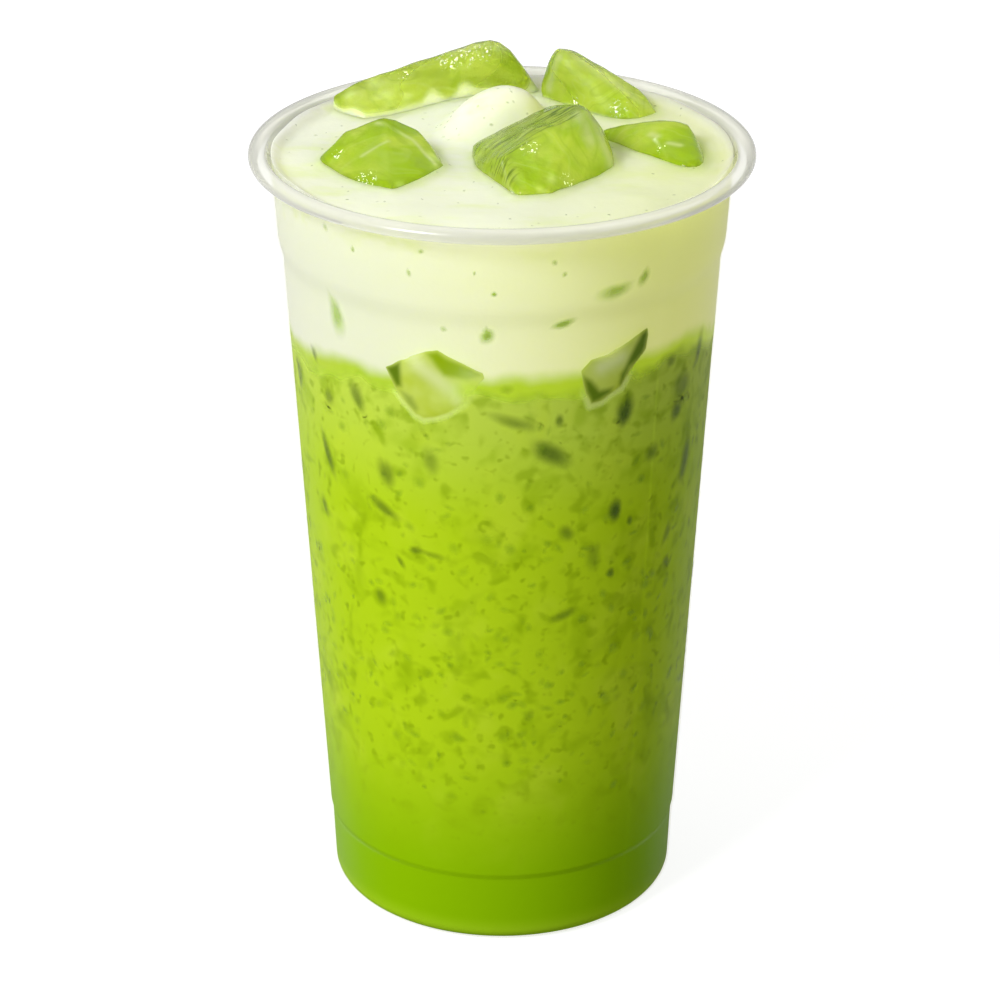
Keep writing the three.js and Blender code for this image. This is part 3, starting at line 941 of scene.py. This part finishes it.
def ice_piece(node, material):
    """One ice piece: melted faces with soft dents, and the marks that its finish reads."""
    look = ICE_LOOKS[node]
    name = "wet_" + node
    mesh = even_skin(name, node, 0.36, look["melt"])
    points = places(mesh)
    around = neighbour_mean(mesh)
    ridges = look.get("ridges", [])
    worn = along_lines(points, ridges)
    wearing_rounds = 90 if ridges else 0
    for _ in range(wearing_rounds):
        points += 0.6 * worn[:, None] * (around(points) - points)
    points = chipped(points, look["chips"])
    move_to(mesh, points)
    sharp = edge_sharpness(mesh, points, 5)
    near_edge = averaged(sharp, around, 40)
    bulge = look["bulge"] * (1 - near_edge / near_edge.max())
    outward_by = bulge + waves(points, ICE_DENTS) * (1 - 0.6 * sharp)
    points += normals_of(mesh) * outward_by[:, None]
    move_to(mesh, points)
    x, y, z = points.T
    climb = look["climb"] + look["uneven"] * roughness_field(points, 5, SEED + 6)
    bare = z - FOAM_LEVEL - foam_relief(x, y) - climb
    frost, patches = [around_spots(points, look.get(kind, [])) for kind in ("frost", "patches")]
    film = 1 - smooth(0, 0.6 + 0.5 * look["uneven"], bare)
    patchy = patches * (1 + 0.8 * roughness_field(points, 2.5, SEED + 7))
    glint_width = 0.3
    glint = along_lines(points, [(*line, glint_width) for line in look.get("lines", [])])
    broken = np.zeros(len(points))
    if node == BROKEN_NODE:
        broken = smooth(0.7, 0.9, normals_of(mesh) @ BROKEN_FACE["out"])
    mark(mesh, "film", np.maximum(film, 0.3 * smooth(0.0, 1.3, patchy)))
    # The pale mark is painted light along edge strips, and the dark mark is painted shade on sharp edges.
    mark(mesh, "pale", 0.85 * along_lines(points, look["strips"]))
    mark(mesh, "worn", worn)
    mark(mesh, "stain", np.full(len(points), look["stain"]))
    mark(mesh, "dark", look["dark"] * smooth(0.3, 0.9, sharp))
    mark(mesh, "frost", smooth(0.2, 0.7, frost))
    mark(mesh, "glint", glint * 0.9)
    mark(mesh, "broken", broken)
    return link(name, mesh, material)


def capped_piece(material):
    """The ice under its coat of foam, drawn in a little so that the coat covers it."""
    mesh = even_skin("foam_coated_ice", CAPPED_NODE, 0.5, 30)
    points = places(mesh) - normals_of(mesh) * COAT
    move_to(mesh, points)
    mark(mesh, "rise", np.full(len(points), 20.0))
    return link("foam_coated_ice", mesh, material)


def tree_of(piece):
    """A search tree of a piece's faces."""
    work = bmesh.new()
    work.from_mesh(piece.data)
    tree = BVHTree.FromBMesh(work)
    work.free()
    return tree


def depth_inside(corners, points):
    """Distance from flat points to a polygon's edge, positive inside it."""
    nearest = np.full(len(points), 1e9)
    inside = np.zeros(len(points), bool)
    for (ax, ay), (bx, by) in zip(corners, np.roll(corners, -1, axis=0)):
        along = np.array([bx - ax, by - ay])
        offset = points - (ax, ay)
        share = np.clip(offset @ along / (along @ along), 0, 1)
        nearest = np.minimum(nearest, np.linalg.norm(offset - share[:, None] * along, axis=1))
        spans = (ay > points[:, 1]) != (by > points[:, 1])
        crossing = ax + (points[:, 1] - ay) * (bx - ax) / (by - ay if by != ay else 1e-9)
        inside ^= spans & (points[:, 0] < crossing)
    return np.where(inside, nearest, -nearest)


def wall_ice(name, look, material):
    """An ice piece that lies against the wall: a shallow closed slab whose marks fade past its outline."""
    radius = float(outer_radius(look["outline"][0][1])) - CONTENTS_INSET

    def flat(corners):
        return np.array([(math.radians(angle) * radius, height) for angle, height in corners])

    outline = flat(look["outline"])
    step, margin, thickness = 0.3, 1.8, 1.0
    low, high = outline.min(0) - margin, outline.max(0) + margin
    across, up = np.meshgrid(np.arange(low[0], high[0], step), np.arange(low[1], high[1], step))
    spots = np.stack([across.ravel(), up.ravel()], -1)
    ragged = np.stack([*spots.T, 0 * spots[:, 0]], -1)
    depth = depth_inside(outline, spots) + 0.25 * roughness_field(ragged, 2.0, SEED + 8)
    columns = across.shape[1]
    kept = depth > -1.5
    faces = []
    for row in range(across.shape[0] - 1):
        for column in range(columns - 1):
            first = row * columns + column
            face = (first, first + 1, first + columns + 1, first + columns)
            if all(kept[i] for i in face):
                faces.append(face)
    proud = 0.12 * smooth(-0.5, 0.8, depth)
    sides = on_wall(np.degrees(spots[:, 0] / radius), spots[:, 1], CONTENTS_INSET - proud)
    mesh = bpy.data.meshes.new(name)
    mesh.from_pydata([Vector(p) * MM for p in sides], [], faces)
    # The dark facets are painted shade.
    for kind in ("dark", "green"):
        facet = np.zeros(len(spots))
        for corners, strength in look.get(kind, []):
            facet = np.maximum(facet, strength * smooth(-0.6, 1.0, depth_inside(flat(corners), spots)))
        mark(mesh, kind + "_facet", facet)
    strips = [(*flat(ends), reach) for *ends, reach in look["milky"]]
    mark(mesh, "milky", 0.75 * along_lines(spots, strips))
    mark(mesh, "halo", 1 - smooth(-0.3, 0.3, depth))
    cover = 0.7 * smooth(-1.5, -0.2, depth) + 0.3 * smooth(-0.3, 0.3, depth)
    for spot, reach, lost in look["faded"]:
        cover *= 1 - lost * np.exp(-(np.linalg.norm(spots - flat([spot])[0], axis=1) / reach) ** 2)
    mark(mesh, "cover", cover)

    def cut_out_and_thicken(work):
        loose = [v for v in work.verts if not v.link_faces]
        bmesh.ops.delete(work, geom=loose, context="VERTS")
        bmesh.ops.solidify(work, geom=work.faces[:], thickness=thickness * MM)

    rework(mesh, cut_out_and_thicken)
    outward(mesh)
    return link(name, mesh, material)


def on_wall(angle, height, inset):
    """A point of the contents' side, from its angle in degrees and its height."""
    radius = outer_radius(height) - inset
    turn = np.radians(angle)
    return np.stack([radius * np.sin(turn), -radius * np.cos(turn), height + 0 * radius], -1)


def wall_chips(name, rows, material, seed):
    """Lens-shaped chips that lie in the contents' side, each with its own ragged outline."""
    draw = np.random.default_rng(seed)
    spokes = 20
    shares = [0.0, 0.2, 0.35, 0.5, 0.65, 0.8, 1.0]
    spread, crown = 1.4, 0.12
    lifted = CONTENTS_INSET - SKIRT_PROUD - 0.01
    belly = [(0.6, CONTENTS_INSET + 0.5), (0.0, CONTENTS_INSET + 0.7)]
    rings = [*((share, lifted - crown * (1 - share)) for share in shares), *belly]
    points, faces, core, strength = [], [], [], []
    for angle, height, length, width, lean, dark in rows:
        first = len(points)
        ragged = 1 + 0.16 * np.interp(np.arange(spokes), np.arange(0, spokes + 1, 4), draw.normal(0, 1, 6))
        way = np.radians(np.arange(spokes) * 360 / spokes)
        long_way, short_way = [turn * size / 2 * spread * ragged for turn, size in
                               [(np.cos(way), length), (np.sin(way), width)]]
        tilt = math.radians(lean)
        across = long_way * math.sin(tilt) + short_way * math.cos(tilt)
        up = long_way * math.cos(tilt) - short_way * math.sin(tilt)
        radius = float(outer_radius(height))
        starts = []
        for share, inset in rings:
            starts.append(len(points))
            count = spokes if share else 1
            turn = angle + np.degrees(across[:count] * share / radius)
            points.extend(on_wall(turn, height + up[:count] * share, inset))
            core.extend([1 - share if inset < CONTENTS_INSET else 0.0] * count)
            strength.extend([dark] * count)
        for i in range(spokes):
            j = (i + 1) % spokes
            faces.append((first, starts[1] + i, starts[1] + j))
            for low, high in zip(starts[1:-2], starts[2:-1]):
                faces.append((low + i, high + i, high + j, low + j))
            faces.append((starts[-1], starts[-2] + j, starts[-2] + i))
    mesh = bpy.data.meshes.new(name)
    mesh.from_pydata([Vector(p) * MM for p in points], [], faces)
    mark(mesh, "core", core)
    mark(mesh, "strength", strength)
    outward(mesh)
    return link(name, mesh, material)


def scattering_tree():
    """Geometry Nodes that scatter small flattened lumps over a surface, uneven in size and outline."""
    tree, given = new_tree("scattered over a surface", [
        ("Per Square Metre", "Float"), ("Smallest", "Float"), ("Largest", "Float"), ("Thickness", "Float"),
        ("Raggedness", "Float"), ("Faintest", "Float"), ("Seed", "Int"), ("Material", "Material"),
    ])
    wanted = add(tree, "GeometryNodeInputNamedAttribute", {"Name": "scatter"}, data_type="FLOAT")
    density = add(tree, "ShaderNodeMath",
                  {0: wanted.outputs["Attribute"], 1: given["Per Square Metre"]}, operation="MULTIPLY")
    spots = add(tree, "GeometryNodeDistributePointsOnFaces",
                {"Mesh": given["Geometry"], "Density": density.outputs[0], "Seed": given["Seed"]})
    lump = add(tree, "GeometryNodeMeshUVSphere", {"Segments": 10, "Rings": 5, "Radius": 1.0})
    where = add(tree, "GeometryNodeInputPosition").outputs[0]
    level = add(tree, "ShaderNodeVectorMath", {0: where, 1: (1.0, 1.0, 0.0)}, operation="MULTIPLY")
    out = add(tree, "ShaderNodeVectorMath", {0: level.outputs[0]}, operation="LENGTH").outputs["Value"]
    inside = add(tree, "ShaderNodeMath", {0: 1.0, 1: out}, operation="SUBTRACT").outputs[0]
    cored = add(tree, "GeometryNodeStoreNamedAttribute",
                {"Geometry": lump.outputs["Mesh"], "Name": "core", "Value": inside},
                data_type="FLOAT", domain="POINT")
    spin = add(tree, "FunctionNodeRandomValue",
               {2: 0.0, 3: 2 * math.pi, "Seed": given["Seed"]}, data_type="FLOAT").outputs[1]
    turn = add(tree, "FunctionNodeAxisAngleToRotation", {"Axis": (0.0, 0.0, 1.0), "Angle": spin}).outputs[0]
    facing = add(tree, "FunctionNodeRotateRotation",
                 {"Rotation": spots.outputs["Rotation"], "Rotate By": turn},
                 rotation_space="LOCAL").outputs[0]
    which = add(tree, "GeometryNodeInputIndex").outputs[0]
    sizes = [add(tree, "FunctionNodeRandomValue",
                 {2: given["Smallest"], 3: given["Largest"], "ID": which, "Seed": SEED + step},
                 data_type="FLOAT").outputs[1] for step in range(2)]
    scale = add(tree, "ShaderNodeCombineXYZ", {0: sizes[0], 1: sizes[1], 2: given["Thickness"]}).outputs[0]
    lumps = add(tree, "GeometryNodeInstanceOnPoints",
                {"Points": spots.outputs["Points"], "Instance": cored.outputs[0], "Rotation": facing,
                 "Scale": scale})
    faint = add(tree, "FunctionNodeRandomValue",
                {2: given["Faintest"], 3: 1.0, "Seed": SEED}, data_type="FLOAT").outputs[1]
    shaded = add(tree, "GeometryNodeStoreNamedAttribute",
                 {"Geometry": lumps.outputs[0], "Name": "strength", "Value": faint},
                 data_type="FLOAT", domain="INSTANCE")
    real = add(tree, "GeometryNodeRealizeInstances", {"Geometry": shaded.outputs[0]})
    wander = add(tree, "ShaderNodeTexNoise", {"Scale": per_mm(1.2), "Detail": 1.0}).outputs["Color"]
    centred = add(tree, "ShaderNodeVectorMath",
                  {0: wander, 1: (0.5, 0.5, 0.5)}, operation="SUBTRACT").outputs[0]
    offset = add(tree, "ShaderNodeVectorMath",
                 {0: centred, "Scale": given["Raggedness"]}, operation="SCALE").outputs[0]
    ragged = add(tree, "GeometryNodeSetPosition", {"Geometry": real.outputs[0], "Offset": offset})
    finish = add(tree, "GeometryNodeSetMaterial",
                 {"Geometry": ragged.outputs[0], "Material": given["Material"]})
    smoothed = add(tree, "GeometryNodeSetShadeSmooth", {"Geometry": finish.outputs[0]})
    add(tree, "NodeGroupOutput", {"Geometry": smoothed.outputs[0]})
    return tree


def scattered(name, surface, material, per_square_cm, smallest, largest, thickness, ragged, seed):
    """Small lumps over a surface, as dense as its scatter mark says."""
    values = {
        "Per Square Metre": per_square_cm * 1e4, "Smallest": smallest * MM, "Largest": largest * MM,
        "Thickness": thickness * MM, "Raggedness": ragged * MM, "Faintest": FAINTEST_FLECK,
        "Seed": seed, "Material": material,
    }
    return through_nodes(name, surface.data.copy(), SCATTERING, values)


# Stage: floor, light and camera

def white_floor():
    """A plain white board under the cup, shown a little brighter than it is lit, as a lit table is."""
    mesh = bpy.data.meshes.new("floor")
    half = 3.0
    corners = [(x * half, y * half, 0) for x, y in [(-1, -1), (1, -1), (1, 1), (-1, 1)]]
    mesh.from_pydata(corners, [], [(0, 1, 2, 3)])
    material, tree = new_material("matt white board")
    scattered_light = add(tree, "ShaderNodeLightPath").outputs["Is Diffuse Ray"]
    lift = add(tree, "ShaderNodeMapRange",
               {"Value": scattered_light, "To Min": 0.88, "To Max": 0.0}).outputs[0]
    shader = add(tree, "ShaderNodeBsdfPrincipled",
                 {"Base Color": linear("#9c9c9c"), "Roughness": 0.8, "Specular IOR Level": 0.0,
                  "Emission Color": linear("#ffffff"), "Emission Strength": lift})
    add(tree, "ShaderNodeOutputMaterial", {"Surface": shader.outputs[0]})
    floor = link("floor", mesh, material)


def soft_light(name, place, aim, size, power):
    lamp = bpy.data.lights.new(name, "AREA")
    lamp.shape = "DISK"
    lamp.size = size
    lamp.energy = power
    light = bpy.data.objects.new(name, lamp)
    light.location = place
    light.rotation_euler = (Vector(aim) - Vector(place)).to_track_quat("-Z", "Y").to_euler()
    bpy.context.scene.collection.objects.link(light)
    return light


def studio_light():
    """A soft key from the front left, a soft light above, and a surround that is brighter in reflections."""
    middle = (0, 0, 0.09)
    soft_light("key", (-0.73, -0.78, 0.95), middle, 0.45, 17.2)
    soft_light("above", (-0.25, 0.25, 1.2), middle, 0.8, 1.7)
    world = bpy.data.worlds.new("studio")
    bpy.context.scene.world = world
    world.use_nodes = True
    tree = world.node_tree
    tree.nodes.clear()
    mirrored = add(tree, "ShaderNodeLightPath").outputs["Is Glossy Ray"]
    strength = add(tree, "ShaderNodeMapRange",
                   {"Value": mirrored, "To Min": 0.29, "To Max": 0.5}).outputs[0]
    sky = add(tree, "ShaderNodeBackground", {"Color": linear("#ffffff"), "Strength": strength})
    add(tree, "ShaderNodeOutputWorld", {"Surface": sky.outputs[0]})
    bpy.context.scene.view_settings.view_transform = "Standard"


def light_only(pieces, light):
    """Keeps a light on these pieces alone."""
    lit = bpy.data.collections.new("lit by " + light.name)
    for piece in pieces:
        lit.objects.link(piece)
    light.light_linking.receiver_collection = lit


def light_inside(cup, foam, ice):
    """Light that the clear rim, the deep foam and the ice carry round from the lit side, as soft fills."""
    rim = (0, 0, 0.15)
    fills = [
        ("foam fill", foam, (0.75, -0.7, 0.3), 0.6, 4.2, "#fffb60"),
        ("ice fill", ice, (0.6, -0.5, 0.75), 0.6, 5.5, "#fcffb0"),
        ("rim fill", [cup], (0.5, 0.1, 1.0), 1.0, 7.5, "#ffffff"),
    ]
    for name, pieces, place, size, power, colour in fills:
        light = soft_light(name, place, rim, size, power)
        light.data.color = linear(colour)[:3]
        light_only(pieces, light)


def photo_camera():
    """The photograph's view: 25 degrees down, from 709 mm, through a long lens."""
    distance, elevation, aim_height, aim_side = 708.9, 24.97, 80.16, -0.39
    camera = bpy.data.cameras.new("camera")
    camera.sensor_width = 36.0
    camera.lens = 130.56
    camera.clip_start = 0.01
    holder = bpy.data.objects.new("camera", camera)
    tilt = math.radians(elevation)
    holder.location = (
        aim_side * MM,
        -distance * MM * math.cos(tilt),
        (aim_height + distance * math.sin(tilt)) * MM,
    )
    holder.rotation_euler = (math.radians(90 - elevation), 0, 0)
    bpy.context.scene.collection.objects.link(holder)
    bpy.context.scene.camera = holder


# The part

TURNING = turning_tree()
SCATTERING = scattering_tree()


def set_in(piece, slot, *nodes):
    """The piece rides with the cup and stands for these nodes, which it hides; the slot is not used."""
    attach(piece, "root")
    if nodes:
        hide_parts(*nodes)


photo_camera()
white_floor()
studio_light()

cup = cup_piece()
set_in(cup, "clear_plastic", "cup")
drink = drink_piece()
set_in(drink, "matcha_latte", "matcha_latte")

ice_material = stained_ice()
ice_pieces = {node: ice_piece(node, ice_material) for node in ICE_LOOKS}
for node, piece in ice_pieces.items():
    set_in(piece, "green_ice", node)
foam_material = milk_foam()
capped = capped_piece(foam_material)
set_in(capped, "foamed_ice", CAPPED_NODE)
foam = foam_piece(foam_material, [tree_of(piece) for piece in ice_pieces.values()])
set_in(foam, "milk_foam", "milk_foam")
light_inside(cup, [foam, capped], list(ice_pieces.values()))

wall_ice_material = ice_at_wall()
for name, look in WALL_ICE.items():
    set_in(wall_ice(name, look, wall_ice_material), "green_ice")
chip_material = sunken_fleck("ice chip under cloudy milk", "#364e02", 0.9)
set_in(wall_chips("ice_chips", ICE_CHIPS, chip_material, SEED), "green_ice")
speck_material = sunken_fleck("matcha speck in foam", "#86a812", 0.85)
set_in(wall_chips("foam_specks", FOAM_SPECKS, speck_material, SEED + 1), "matcha_latte")
fleck_material = sunken_fleck("matcha fleck in milk", "#6c8a08", 0.42)
flecks = scattered("drink_flecks", drink, fleck_material, per_square_cm=6.0,
                   smallest=0.6, largest=1.9, thickness=0.12, ragged=0.4, seed=SEED)
set_in(flecks, "matcha_latte")
dot_material = sunken_fleck("matcha dot on foam", "#a6c232", 0.5)
dots = scattered("foam_dots", foam, dot_material, per_square_cm=3.0,
                 smallest=0.2, largest=0.6, thickness=0.1, ragged=0.2, seed=SEED + 2)
set_in(dots, "matcha_latte")
